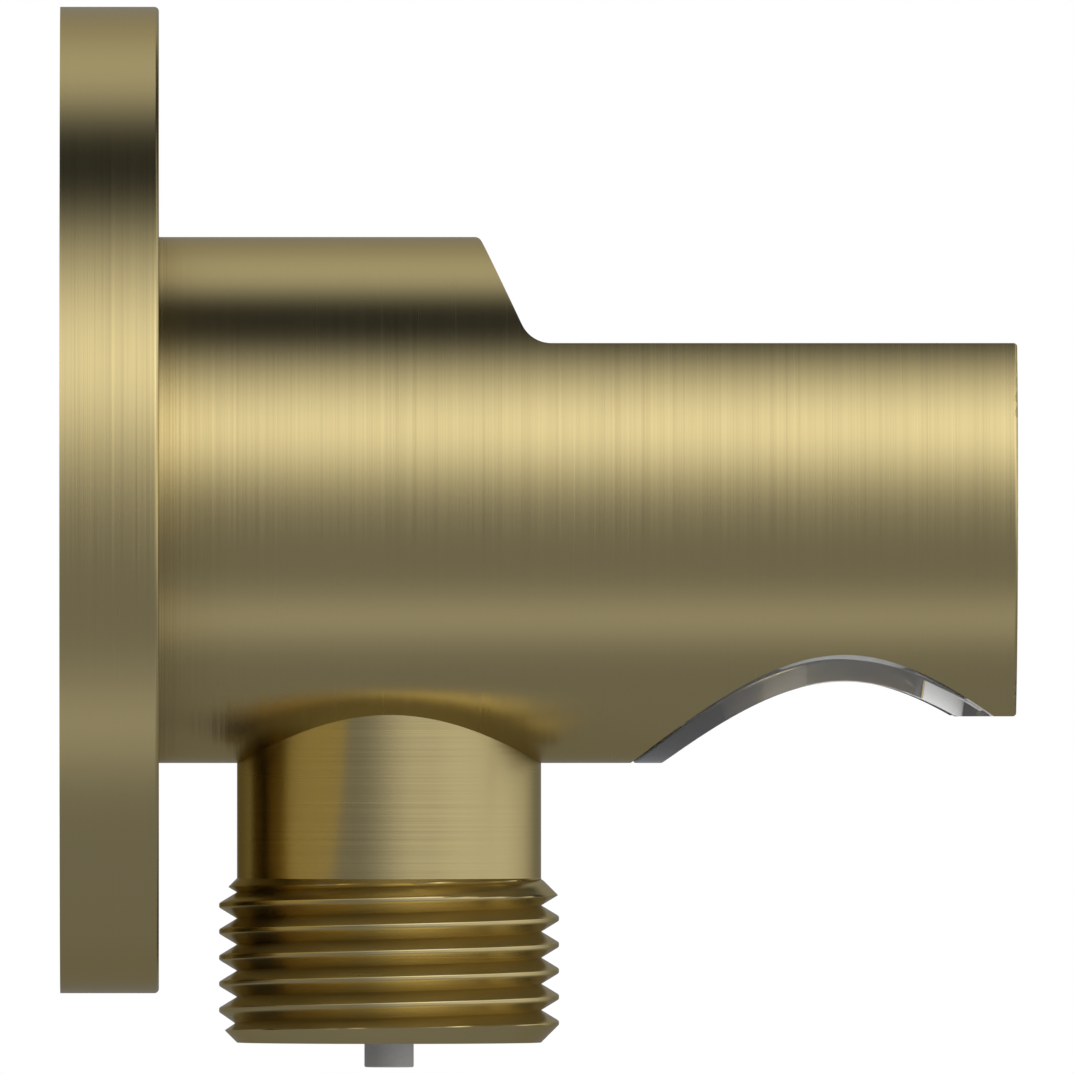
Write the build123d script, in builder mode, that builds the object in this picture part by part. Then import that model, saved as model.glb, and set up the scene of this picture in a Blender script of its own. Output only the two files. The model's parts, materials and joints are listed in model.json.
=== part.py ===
from build123d import *
import math
import os

# Wall outlet elbow with a handset holder. Millimetres. The origin is on the wall plane, on the body's axis.
# +X runs out of the wall along the body, +Z is up, and the hose outlet points down.

# body: a turned bar with a stepped arm at its outer end
body_diameter = 32.0
projection = 58.0
wall_gap = 1.0
back_chamfer = 0.5
tip_round = 0.22

# arm: the bar is cut down in front of a steep slope, until its flat leaves a land on each side of
# the handset hole and a longer one behind it, and is flattened underneath at its tip
side_land = 0.775
back_land = 6.22
step_slope_angle = 25.0
step_foot_round = 1.95
step_edge_round = 0.45
underside_relief = 2.87

# inlet: a socket for a G 1/2 wall nipple, at the thread's major diameter, and the drilled waterway
inlet_thread_diameter = 21.0
inlet_depth = 9.5
inlet_chamfer = 0.7
waterway_diameter = 11.0
waterway_past_outlet = 6.0
drill_point_angle = 118.0

# hose outlet: a turned nipple in a stepped port under the body, set a little to the wall side
# of the middle between the rosette and the handset hole
outlet_off_middle = 0.375
neck_diameter = 18.5
neck_length = 7.0
hose_thread_diameter = 20.68
hose_thread_length = 10.0
port_recess_depth = 4.5
spigot_diameter = 16.0
spigot_length = 6.3
spigot_end_gap = 0.3
spigot_chamfer = 0.4
nipple_bore_mouth_chamfer = 0.4

# handset hole: vertical, open to the front through the hose slot, and narrowed by a lip at the top
jaw_tip_length = 0.3
hose_slot_width = 15.6
lip_height = 3.0
lip_edge_round = 0.2
slot_edge_round = 0.15
hole_rim_round = 0.1

# liner: a C-shaped ring with a conical seat, cut flush with the underside of the arm
liner_wall = 0.6
liner_clearance = 0.1
seat_top_diameter = 24.2
seat_half_angle = 6.0
seat_height = 11.9
liner_edge_round = 0.15
snap_tab_depth = 0.5
snap_tab_width = 7.0
snap_tab_height = 2.0
snap_tab_below_lip = 5.5

# rosette: a round cover, hollow behind, whose collar holds an O-ring on the body
rosette_diameter = 60.0
rosette_depth = 6.0
rosette_wall = 1.6
rosette_edge_round = 0.28
collar_wall = 3.2
collar_wall_gap = 0.8
collar_clearance = 0.1
rosette_gland_depth = 1.4
rosette_gland_width = 2.2
gasket_width = 4.5

# non-return valve: a cartridge pushed up into the nipple from below
cartridge_diameter = 14.8
cartridge_bore_clearance = 0.1
cartridge_recess = 1.0
cartridge_length = 16.5
seat_opening_diameter = 9.2
seat_thickness = 4.0
seat_lead_in = 0.8
housing_wall = 0.8
guide_flange_thickness = 0.8
guide_ring_height = 2.5
guide_ring_wall = 0.9
guide_ring_clearance = 0.03
spoke_count = 4
spoke_width = 1.1
spoke_height = 2.2
hub_diameter = 5.6
hub_height = 4.0
stem_diameter = 3.0
stem_clearance = 0.05
stem_past_thread = 1.5
stem_tip_round = 0.1
poppet_head_diameter = 10.8
poppet_head_thickness = 1.4
poppet_head_round = 0.3
poppet_neck_diameter = 5.2
poppet_knob_diameter = 6.6
poppet_knob_height = 1.3
poppet_seal_thickness = 1.0
seal_clearance = 0.02
spring_wire_diameter = 0.45
spring_inner_gap = 0.3
spring_end_gap = 0.05
spring_turns = 5.0

# O-ring glands of the nipple and of the cartridge
nipple_gland_depth = 1.15
nipple_gland_width = 1.7
nipple_gland_from_end = 2.0
cartridge_gland_depth = 1.15
cartridge_gland_width = 1.7

# cutting shapes run past the part by this much
margin = 2.0

body_radius = body_diameter / 2
seat_top_radius = seat_top_diameter / 2
arm_top_z = math.sqrt(body_radius**2 - (seat_top_radius + side_land) ** 2)
arm_bottom_z = underside_relief - body_radius

liner_radius = seat_top_radius + liner_wall
holder_radius = liner_radius + liner_clearance
holder_to_tip = math.sqrt(holder_radius**2 - (hose_slot_width / 2) ** 2) + jaw_tip_length
holder_x = projection - holder_to_tip
hole_back_x = holder_x - holder_radius
outlet_x = (rosette_depth + hole_back_x) / 2 - outlet_off_middle

side_plane = Plane.XZ
outlet_plane = Plane(origin=(outlet_x, 0, 0), x_dir=(1, 0, 0), z_dir=(0, -1, 0))
outlet_axis = Axis((outlet_x, 0, 0), (0, 0, 1))
holder_plane = Plane(origin=(holder_x, 0, 0), x_dir=(1, 0, 0), z_dir=(0, -1, 0))
holder_axis = Axis((holder_x, 0, 0), (0, 0, 1))

slope_per_height = math.tan(math.radians(step_slope_angle))
step_foot_x = hole_back_x - back_land
step_top_x = step_foot_x - (body_radius - arm_top_z) * slope_per_height
socket_floor_x = wall_gap + inlet_depth
waterway_end_x = outlet_x + waterway_past_outlet
drill_point_length = waterway_diameter / 2 / math.tan(math.radians(drill_point_angle / 2))

neck_radius = neck_diameter / 2
neck_bottom_z = -body_radius - neck_length
spigot_radius = spigot_diameter / 2
port_recess_z = port_recess_depth - body_radius
spigot_top_z = port_recess_z + spigot_length
port_floor_z = spigot_top_z + spigot_end_gap
nipple_gland_z = spigot_top_z - nipple_gland_from_end - nipple_gland_width / 2

lip_z = arm_top_z - lip_height
seat_slope = math.tan(math.radians(seat_half_angle))
seat_top_z = seat_height - body_radius
liner_low_z = -body_radius - margin
seat_low_radius = seat_top_radius - (seat_top_z - liner_low_z) * seat_slope
snap_tab_z = lip_z - snap_tab_below_lip
snap_tab_reach = liner_radius + snap_tab_depth
snap_pocket_reach = snap_tab_reach + liner_clearance

thread_bottom_z = neck_bottom_z - hose_thread_length
thread_chamfer = (hose_thread_diameter - neck_diameter) / 2
cartridge_radius = cartridge_diameter / 2
nipple_bore_radius = cartridge_radius + cartridge_bore_clearance
cartridge_bottom_z = thread_bottom_z + cartridge_recess
cartridge_top_z = cartridge_bottom_z + cartridge_length
valve_seat_z = cartridge_top_z - seat_thickness
cartridge_gland_z = cartridge_top_z - seat_thickness / 2
housing_bottom_z = cartridge_bottom_z + guide_flange_thickness
housing_inner_radius = cartridge_radius - housing_wall
hub_top_z = cartridge_bottom_z + hub_height
stem_radius = stem_diameter / 2
stem_tip_z = thread_bottom_z - stem_past_thread
seal_bottom_z = valve_seat_z - poppet_seal_thickness
head_bottom_z = seal_bottom_z - poppet_head_thickness
spring_radius = stem_radius + spring_inner_gap + spring_wire_diameter / 2


def step_cut():
    """Side outline of what is taken off the bar's top: a slope with a rounded foot, then the arm's flat."""
    above = body_radius + margin
    top = (step_top_x - margin * slope_per_height, above)
    foot = (step_foot_x, arm_top_z)
    front = (projection + margin, arm_top_z)
    corner = (projection + margin, above)
    FilletPolyline(top, foot, front, radius=step_foot_round)
    Polyline(front, corner, top)


def ring(inner, outer, low, high):
    """Half section of a ring between two radii and two heights."""
    with Locations(((inner + outer) / 2, (low + high) / 2)):
        Rectangle(outer - inner, high - low)


def snap_tab(reach, width):
    """Plan of the tab behind the liner, as far from the hole's axis as reach."""
    with Locations((holder_x, 0)):
        Circle(reach)
        Circle(seat_top_radius + snap_tab_depth, mode=Mode.SUBTRACT)
        Rectangle(2 * reach, width, align=(Align.MAX, Align.CENTER), mode=Mode.INTERSECT)


with BuildPart() as body:
    with BuildSketch(Plane.YZ.offset(wall_gap)):
        Circle(body_radius)
    extrude(amount=projection - wall_gap)
    chamfer(body.edges().sort_by(Axis.X)[0], back_chamfer)
    with BuildSketch(side_plane):
        with BuildLine():
            step_cut()
        make_face()
    extrude(amount=body_radius, both=True, mode=Mode.SUBTRACT)
    with BuildSketch(side_plane):
        with Locations((holder_x, arm_bottom_z)):
            Rectangle(projection, body_radius, align=(Align.MIN, Align.MAX))
    extrude(amount=body_radius, both=True, mode=Mode.SUBTRACT)
    # the step's edge is one tangent chain, over the top and forward along both sides of the arm
    arm_flat = body.faces().filter_by(Plane.XY).sort_by(Axis.Z)[-1]
    side_edges = arm_flat.edges().filter_by(Axis.X)
    crown_edges = body.edges().filter_by(GeomType.ELLIPSE)
    foot_edges = body.edges().filter_by(GeomType.BSPLINE)
    fillet(side_edges + crown_edges + foot_edges, step_edge_round)
    fillet(body.faces().sort_by(Axis.X)[-1].edges(), tip_round)
    # handset hole, its lip and the hose slot
    with BuildSketch(Plane.XY.offset(lip_z)):
        with Locations((holder_x, 0)):
            Circle(holder_radius)
    extrude(amount=-(lip_z + body_radius + margin), mode=Mode.SUBTRACT)
    with BuildSketch(Plane.XY.offset(arm_top_z)):
        with Locations((holder_x, 0)):
            Circle(seat_top_radius)
    extrude(amount=-lip_height, mode=Mode.SUBTRACT)
    with BuildSketch(Plane.XY.offset(snap_tab_z)):
        snap_tab(snap_pocket_reach, snap_tab_width + 2 * liner_clearance)
    extrude(amount=snap_tab_height / 2 + liner_clearance, both=True, mode=Mode.SUBTRACT)
    with BuildSketch(side_plane):
        with Locations((holder_x, 0)):
            Rectangle(projection, 2 * body_diameter, align=(Align.MIN, Align.CENTER))
    extrude(amount=hose_slot_width / 2, both=True, mode=Mode.SUBTRACT)
    # rounds of the slot's front edges, and of the hole's top and lower edges
    front_edges = body.edges().filter_by_position(Axis.X, projection, projection).filter_by(Axis.Z)
    fillet(front_edges.sort_by(SortBy.LENGTH)[-2:], slot_edge_round)
    arm_flat = body.faces().filter_by(Plane.XY).sort_by(Axis.Z)[-1]
    fillet(arm_flat.edges().filter_by(GeomType.CIRCLE).sort_by(SortBy.LENGTH)[-1], lip_edge_round)
    hole_wall = body.faces().filter_by(lambda face: face.radius == holder_radius).sort_by(SortBy.AREA)[-1]
    fillet(hole_wall.edges().filter_by(GeomType.BSPLINE), hole_rim_round)
    # inlet socket, waterway and the stepped port for the nipple
    with BuildSketch(side_plane):
        with BuildLine():
            Polyline(
                (wall_gap, 0),
                (wall_gap, inlet_thread_diameter / 2 + inlet_chamfer),
                (wall_gap + inlet_chamfer, inlet_thread_diameter / 2),
                (socket_floor_x, inlet_thread_diameter / 2),
                (socket_floor_x, waterway_diameter / 2),
                (waterway_end_x, waterway_diameter / 2),
                (waterway_end_x + drill_point_length, 0),
                close=True,
            )
        make_face()
    revolve(axis=Axis.X, mode=Mode.SUBTRACT)
    with BuildSketch(outlet_plane):
        ring(0, waterway_diameter / 2, port_floor_z - margin, 0)
        ring(0, spigot_radius + seal_clearance, port_recess_z - margin, port_floor_z)
        ring(0, neck_radius + seal_clearance, -body_radius - margin, port_recess_z)
    revolve(axis=outlet_axis, mode=Mode.SUBTRACT)

body.part.label = "body"

with BuildPart() as wall_rosette:
    collar_inner = body_radius + collar_clearance
    collar_outer = collar_inner + collar_wall
    gland_middle = (collar_wall_gap + rosette_depth) / 2
    with BuildSketch(side_plane):
        with BuildLine():
            Polyline(
                (0, rosette_diameter / 2),
                (rosette_depth, rosette_diameter / 2),
                (rosette_depth, collar_inner),
                (collar_wall_gap, collar_inner),
                (collar_wall_gap, collar_outer),
                (rosette_depth - rosette_wall, collar_outer),
                (rosette_depth - rosette_wall, rosette_diameter / 2 - rosette_wall),
                (0, rosette_diameter / 2 - rosette_wall),
                close=True,
            )
        make_face()
        with Locations((gland_middle, collar_inner)):
            Rectangle(rosette_gland_width, 2 * rosette_gland_depth, mode=Mode.SUBTRACT)
    revolve(axis=Axis.X)
    front_edges = wall_rosette.edges().group_by(Axis.X)[-1]
    fillet(front_edges.sort_by(SortBy.LENGTH)[-1], rosette_edge_round)

wall_rosette.part.label = "wall_rosette"

with BuildPart() as rosette_o_ring:
    o_ring_low = body_radius + seal_clearance
    o_ring_high = collar_inner + rosette_gland_depth - seal_clearance
    with BuildSketch(side_plane):
        with Locations((gland_middle, (o_ring_low + o_ring_high) / 2)):
            Circle((o_ring_high - o_ring_low) / 2)
    revolve(axis=Axis.X)

rosette_o_ring.part.label = "rosette_o_ring"

with BuildPart() as wall_gasket:
    gasket_outer = rosette_diameter / 2 - rosette_wall - seal_clearance
    with BuildSketch(Plane.YZ):
        Circle(gasket_outer)
        Circle(gasket_outer - gasket_width, mode=Mode.SUBTRACT)
    extrude(amount=rosette_depth - rosette_wall)

wall_gasket.part.label = "wall_gasket"

with BuildPart() as outlet_nipple:
    with BuildSketch(outlet_plane):
        with BuildLine():
            Polyline(
                (waterway_diameter / 2, spigot_top_z),
                (spigot_radius - spigot_chamfer, spigot_top_z),
                (spigot_radius, spigot_top_z - spigot_chamfer),
                (spigot_radius, port_recess_z),
                (neck_radius, port_recess_z),
                (neck_radius, neck_bottom_z),
                (neck_radius + thread_chamfer, neck_bottom_z - thread_chamfer),
                (neck_radius + thread_chamfer, thread_bottom_z + thread_chamfer),
                (neck_radius, thread_bottom_z),
                (nipple_bore_radius + nipple_bore_mouth_chamfer, thread_bottom_z),
                (nipple_bore_radius, thread_bottom_z + nipple_bore_mouth_chamfer),
                (nipple_bore_radius, cartridge_top_z),
                (waterway_diameter / 2, cartridge_top_z),
                close=True,
            )
        make_face()
        with Locations((spigot_radius, nipple_gland_z)):
            Rectangle(2 * nipple_gland_depth, nipple_gland_width, mode=Mode.SUBTRACT)
    revolve(axis=outlet_axis)

outlet_nipple.part.label = "outlet_nipple"

with BuildPart() as nipple_o_ring:
    o_ring_low = spigot_radius - nipple_gland_depth + seal_clearance
    o_ring_high = spigot_radius
    with BuildSketch(outlet_plane):
        with Locations(((o_ring_low + o_ring_high) / 2, nipple_gland_z)):
            Circle((o_ring_high - o_ring_low) / 2)
    revolve(axis=outlet_axis)

nipple_o_ring.part.label = "nipple_o_ring"

with BuildPart() as holder_liner:
    with BuildSketch(holder_plane):
        with BuildLine():
            Polyline(
                (liner_radius, lip_z),
                (liner_radius, liner_low_z),
                (seat_low_radius, liner_low_z),
                (seat_top_radius, seat_top_z),
                (seat_top_radius, lip_z),
                close=True,
            )
        make_face()
    revolve(axis=holder_axis)
    with BuildSketch(Plane.XY.offset(snap_tab_z)):
        snap_tab(snap_tab_reach, snap_tab_width)
    extrude(amount=snap_tab_height / 2, both=True)
    with BuildSketch(Plane.YZ):
        Circle(body_radius)
    extrude(amount=projection, mode=Mode.INTERSECT)
    with BuildSketch(side_plane):
        with Locations((holder_x, arm_bottom_z)):
            Rectangle(projection, body_radius, align=(Align.MIN, Align.MAX))
    extrude(amount=body_radius, both=True, mode=Mode.SUBTRACT)
    with BuildSketch(side_plane):
        with Locations((holder_x, 0)):
            Rectangle(projection, 2 * body_diameter, align=(Align.MIN, Align.CENTER))
    extrude(amount=hose_slot_width / 2, both=True, mode=Mode.SUBTRACT)
    under_edges = holder_liner.edges().filter_by(GeomType.BSPLINE)
    arc_edges = holder_liner.edges().filter_by(GeomType.CIRCLE)
    fillet(under_edges + arc_edges.filter_by_position(Axis.Z, arm_bottom_z, arm_bottom_z), liner_edge_round)

holder_liner.part.label = "holder_liner"

with BuildPart() as valve_housing:
    with BuildSketch(outlet_plane):
        with BuildLine():
            Polyline(
                (seat_opening_diameter / 2 + seat_lead_in, cartridge_top_z),
                (cartridge_radius, cartridge_top_z),
                (cartridge_radius, housing_bottom_z),
                (housing_inner_radius, housing_bottom_z),
                (housing_inner_radius, valve_seat_z),
                (seat_opening_diameter / 2, valve_seat_z),
                (seat_opening_diameter / 2, cartridge_top_z - seat_lead_in),
                close=True,
            )
        make_face()
        with Locations((cartridge_radius, cartridge_gland_z)):
            Rectangle(2 * cartridge_gland_depth, cartridge_gland_width, mode=Mode.SUBTRACT)
    revolve(axis=outlet_axis)

valve_housing.part.label = "valve_housing"

with BuildPart() as valve_o_ring:
    o_ring_low = cartridge_radius - cartridge_gland_depth + seal_clearance
    o_ring_high = nipple_bore_radius - seal_clearance
    with BuildSketch(outlet_plane):
        with Locations(((o_ring_low + o_ring_high) / 2, cartridge_gland_z)):
            Circle((o_ring_high - o_ring_low) / 2)
    revolve(axis=outlet_axis)

valve_o_ring.part.label = "valve_o_ring"

with BuildPart() as valve_guide:
    guide_radius = housing_inner_radius - guide_ring_clearance
    guide_inner = guide_radius - guide_ring_wall
    with BuildSketch(outlet_plane):
        ring(guide_inner, cartridge_radius, cartridge_bottom_z, housing_bottom_z)
        ring(guide_inner, guide_radius, housing_bottom_z, cartridge_bottom_z + guide_ring_height)
        ring(stem_radius + stem_clearance, hub_diameter / 2, cartridge_bottom_z, hub_top_z)
    revolve(axis=outlet_axis)
    with BuildSketch(Plane.XY.offset(cartridge_bottom_z)):
        with Locations((outlet_x, 0)):
            with PolarLocations(0, spoke_count):
                Rectangle(guide_inner + guide_ring_wall / 2, spoke_width, align=(Align.MIN, Align.CENTER))
            Circle(stem_radius + stem_clearance, mode=Mode.SUBTRACT)
    extrude(amount=spoke_height)

valve_guide.part.label = "valve_guide"

with BuildPart() as valve_poppet:
    with BuildSketch(outlet_plane):
        ring(0, stem_radius, stem_tip_z, head_bottom_z)
        ring(0, poppet_head_diameter / 2, head_bottom_z, seal_bottom_z)
        ring(0, poppet_neck_diameter / 2, seal_bottom_z, valve_seat_z)
        ring(0, poppet_knob_diameter / 2, valve_seat_z, valve_seat_z + poppet_knob_height)
    revolve(axis=outlet_axis)
    round_edges = valve_poppet.edges().filter_by(GeomType.CIRCLE)
    fillet(round_edges.sort_by(Axis.Z)[0], stem_tip_round)
    fillet(valve_poppet.edges().filter_by_position(Axis.Z, head_bottom_z, head_bottom_z), poppet_head_round)
    fillet(valve_poppet.edges().sort_by(Axis.Z)[-1], poppet_knob_height / 2)

valve_poppet.part.label = "valve_poppet"

with BuildPart() as poppet_seal:
    with BuildSketch(Plane.XY.offset(seal_bottom_z)):
        with Locations((outlet_x, 0)):
            Circle(poppet_head_diameter / 2)
            Circle(poppet_neck_diameter / 2 + seal_clearance, mode=Mode.SUBTRACT)
    extrude(amount=poppet_seal_thickness)

poppet_seal.part.label = "poppet_seal"

with BuildPart() as valve_spring:
    coil_height = head_bottom_z - hub_top_z - spring_wire_diameter - 2 * spring_end_gap
    coil_start_z = hub_top_z + spring_end_gap + spring_wire_diameter / 2
    with BuildLine() as coil:
        Helix(
            pitch=coil_height / spring_turns,
            height=coil_height,
            radius=spring_radius,
            center=(outlet_x, 0, coil_start_z),
        )
    with BuildSketch(Plane(origin=coil.line @ 0, z_dir=coil.line % 0)):
        Circle(spring_wire_diameter / 2)
    sweep(path=coil.line, is_frenet=True)

valve_spring.part.label = "valve_spring"

pieces = (
    body,
    wall_rosette,
    rosette_o_ring,
    wall_gasket,
    outlet_nipple,
    nipple_o_ring,
    holder_liner,
    valve_housing,
    valve_o_ring,
    valve_guide,
    valve_poppet,
    poppet_seal,
    valve_spring,
)
os.makedirs("parts", exist_ok=True)
for piece in pieces:
    export_step(piece.part, f"parts/{piece.part.label}.step")
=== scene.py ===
"""Looks of the wall outlet elbow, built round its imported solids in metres.

The body, the rosette and the outlet nipple are brushed gold, turned on their own axes. The handset liner is
smoke-grey clear plastic, and the non-return valve in the outlet is matt grey plastic with rubber seals.
"""

import json
import logging
import math
from dataclasses import dataclass
from enum import Enum

import bpy
import numpy as np
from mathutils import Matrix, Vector

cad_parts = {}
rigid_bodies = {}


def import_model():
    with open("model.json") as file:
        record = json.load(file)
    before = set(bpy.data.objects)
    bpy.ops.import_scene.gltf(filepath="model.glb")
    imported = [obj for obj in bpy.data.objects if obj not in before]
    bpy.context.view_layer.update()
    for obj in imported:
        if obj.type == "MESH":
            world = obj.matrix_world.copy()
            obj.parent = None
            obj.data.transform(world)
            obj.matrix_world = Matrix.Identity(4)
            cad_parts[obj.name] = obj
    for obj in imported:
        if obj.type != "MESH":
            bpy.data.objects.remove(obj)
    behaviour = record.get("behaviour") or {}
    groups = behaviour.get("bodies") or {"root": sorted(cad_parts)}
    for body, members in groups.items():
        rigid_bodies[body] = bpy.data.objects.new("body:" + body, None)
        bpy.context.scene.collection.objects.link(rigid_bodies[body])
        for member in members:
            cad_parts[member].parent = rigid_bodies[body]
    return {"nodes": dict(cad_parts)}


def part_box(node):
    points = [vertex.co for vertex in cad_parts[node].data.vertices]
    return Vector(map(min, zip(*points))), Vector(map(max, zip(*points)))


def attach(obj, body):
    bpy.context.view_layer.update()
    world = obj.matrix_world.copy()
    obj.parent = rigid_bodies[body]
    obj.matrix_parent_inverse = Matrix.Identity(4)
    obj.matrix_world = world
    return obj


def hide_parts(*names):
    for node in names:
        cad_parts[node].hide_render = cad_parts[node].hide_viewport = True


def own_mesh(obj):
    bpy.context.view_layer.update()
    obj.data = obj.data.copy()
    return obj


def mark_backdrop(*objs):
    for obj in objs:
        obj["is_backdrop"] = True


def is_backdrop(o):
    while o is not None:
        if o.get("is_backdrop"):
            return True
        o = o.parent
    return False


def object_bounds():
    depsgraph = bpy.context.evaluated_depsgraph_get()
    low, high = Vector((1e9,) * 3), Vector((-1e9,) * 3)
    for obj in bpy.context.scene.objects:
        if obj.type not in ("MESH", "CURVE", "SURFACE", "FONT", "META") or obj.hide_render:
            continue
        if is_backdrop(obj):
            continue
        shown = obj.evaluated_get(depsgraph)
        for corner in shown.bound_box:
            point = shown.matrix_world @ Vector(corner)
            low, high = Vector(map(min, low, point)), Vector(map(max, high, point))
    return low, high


Socket = bpy.types.NodeSocket
Number = float | Socket
Triple = tuple[float, float, float] | Socket

log = logging.getLogger("elbow")
MM = 0.001
FULL_TURN = 2 * math.pi
# The slope of the arm's step leans back from upright by this many degrees.
STEP_LEAN = 25.0
# The rounds at the rosette's rim and the body's tip, and how deep the body's crisp edges reach.
RIM_ROUND = 0.28 * MM
TIP_ROUND = 0.22 * MM
EDGE_DEPTH = 0.4 * MM
# Noise seldom leaves this range, so a step over it uses all of its levels.
NOISE_RANGE = (0.3, 0.7)
NOISE_MIDDLE = sum(NOISE_RANGE) / 2
# A face is an end face where the cosine between its normal and the turning axis is over this.
END_FACING = 0.99
# A cosine that faces on an end's round pass, and one that no face can pass.
ROUND_FACING = 0.8
OUT_OF_REACH = 2.0
# Points of a surface that are nearer than this are merged.
MERGE_DISTANCE = 1e-8
# Edges that turn by more than this many degrees are sharp.
CREASE_ANGLE = 30.0


class TurningAxis(Enum):
    """The axis that a piece was turned and brushed on."""

    ALONG_X = 0
    ALONG_Z = 2


@dataclass(frozen=True)
class Shade:
    """A linear colour."""

    red: float
    green: float
    blue: float

    def rgb(self) -> tuple[float, float, float]:
        """Return the three parts."""
        return (self.red, self.green, self.blue)

    def rgba(self) -> tuple[float, float, float, float]:
        """Return the three parts and full alpha."""
        return (*self.rgb(), 1.0)


WHITE = Shade(1.0, 1.0, 1.0)


class Nodes:
    """A short way to build a node tree. Apart from add, each method returns its node's result socket."""

    def __init__(self, tree: bpy.types.NodeTree) -> None:
        """Clear the tree and keep it."""
        self.tree = tree
        tree.nodes.clear()

    def add(self, kind: str, inputs: dict | None = None, **settings: str) -> bpy.types.Node:
        """Add a node.

        Args:
            kind: the node's type name without the leading ShaderNode.
            inputs: for each input socket's name or number, a value or a socket to link from.
            **settings: the node's own properties.

        Returns:
            The new node.
        """
        node = self.tree.nodes.new("ShaderNode" + kind)
        for name, value in settings.items():
            setattr(node, name, value)
        for key, value in (inputs or {}).items():
            if isinstance(value, Socket):
                self.tree.links.new(value, node.inputs[key])
            else:
                node.inputs[key].default_value = value
        return node

    def math(self, operation: str, first: Number, second: Number = 0.0, third: Number = 0.0) -> Socket:
        """Work out a Math node's operation on up to three numbers."""
        return self.add("Math", {0: first, 1: second, 2: third}, operation=operation).outputs[0]

    def vector(self, operation: str, first: Triple, second: Triple = (0.0, 0.0, 0.0)) -> Socket:
        """Work out a Vector Math node's operation on one or two vectors."""
        return self.add("VectorMath", {0: first, 1: second}, operation=operation).outputs[0]

    def dot(self, first: Triple, second: Triple) -> Socket:
        """Work out the dot product of two vectors."""
        return self.add("VectorMath", {0: first, 1: second}, operation="DOT_PRODUCT").outputs["Value"]

    def times(self, vector: Triple, factor: Number) -> Socket:
        """Multiply a vector or a colour by a number."""
        return self.add("VectorMath", {0: vector, "Scale": factor}, operation="SCALE").outputs[0]

    def smooth(
        self, value: Number, ends: tuple[float, float], levels: tuple[float, float] = (0.0, 1.0)
    ) -> Socket:
        """Go smoothly from one level to the other while a value crosses a range."""
        inputs = {0: value, 1: ends[0], 2: ends[1], 3: levels[0], 4: levels[1]}
        return self.add("MapRange", inputs, interpolation_type="SMOOTHSTEP").outputs[0]

    def mix(self, weight: Number, first: object, second: object, kind: str = "FLOAT") -> Socket:
        """Blend two values, vectors or colours.

        Args:
            weight: 0 for the first of them and 1 for the second.
            first: a value or a socket.
            second: a value or a socket.
            kind: the node's data type.

        Returns:
            The blend.
        """
        place = ("FLOAT", "VECTOR", "RGBA").index(kind)
        inputs = {0: weight, 2 + 2 * place: first, 3 + 2 * place: second}
        return self.add("Mix", inputs, data_type=kind).outputs[place]


def new_material(name: str) -> tuple[bpy.types.Material, Nodes]:
    """Make an empty node material.

    Args:
        name: the material's name.

    Returns:
        The material and its node tree's builder.
    """
    material = bpy.data.materials.new(name)
    material.use_nodes = True
    return material, Nodes(material.node_tree)


class TurnedPlace:
    """Where a point lies on a piece that was turned on an axis, as sockets of a node tree.

    Attributes:
        axis: the direction of the turning axis.
        along: the distance along the axis.
        across: the two distances across it.
        radius: the distance from the axis.
        round_axis: the direction round the axis, times the radius.
        outward: the direction from the axis.
        face: the normal of the mesh's own face.
        shaded: the mesh's smooth normal.
        on_end: 1 on an end face, and 0 elsewhere.
    """

    def __init__(self, nodes: Nodes, axis: TurningAxis, centre: tuple[float, float, float]) -> None:
        """Work out the place.

        Args:
            nodes: the node tree's builder.
            axis: the axis that the piece was turned on.
            centre: a point on it, where the distance along it is 0.
        """
        place = nodes.add("TexCoord").outputs["Object"]
        from_centre = nodes.vector("SUBTRACT", place, centre)
        parts = nodes.add("SeparateXYZ", {0: from_centre}).outputs
        self.along = parts[axis.value]
        self.across = [parts[index] for index in range(3) if index != axis.value]
        squares = [nodes.math("MULTIPLY", part, part) for part in self.across]
        self.radius = nodes.math("SQRT", nodes.math("ADD", *squares))
        self.axis = tuple(float(index == axis.value) for index in range(3))
        self.round_axis = nodes.vector("CROSS_PRODUCT", self.axis, from_centre)
        off_axis = nodes.vector("CROSS_PRODUCT", self.round_axis, self.axis)
        self.outward = nodes.vector("NORMALIZE", off_axis)
        geometry = nodes.add("NewGeometry").outputs
        self.face = geometry["True Normal"]
        self.shaded = geometry["Normal"]
        endwise = nodes.math("ABSOLUTE", nodes.dot(self.face, self.axis))
        self.on_end = nodes.math("GREATER_THAN", endwise, END_FACING)


@dataclass(frozen=True)
class TurnedRound:
    """The round between a turned surface and its end face: where it ends, how far out, and its radius."""

    end: float
    outer: float
    size: float


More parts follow.
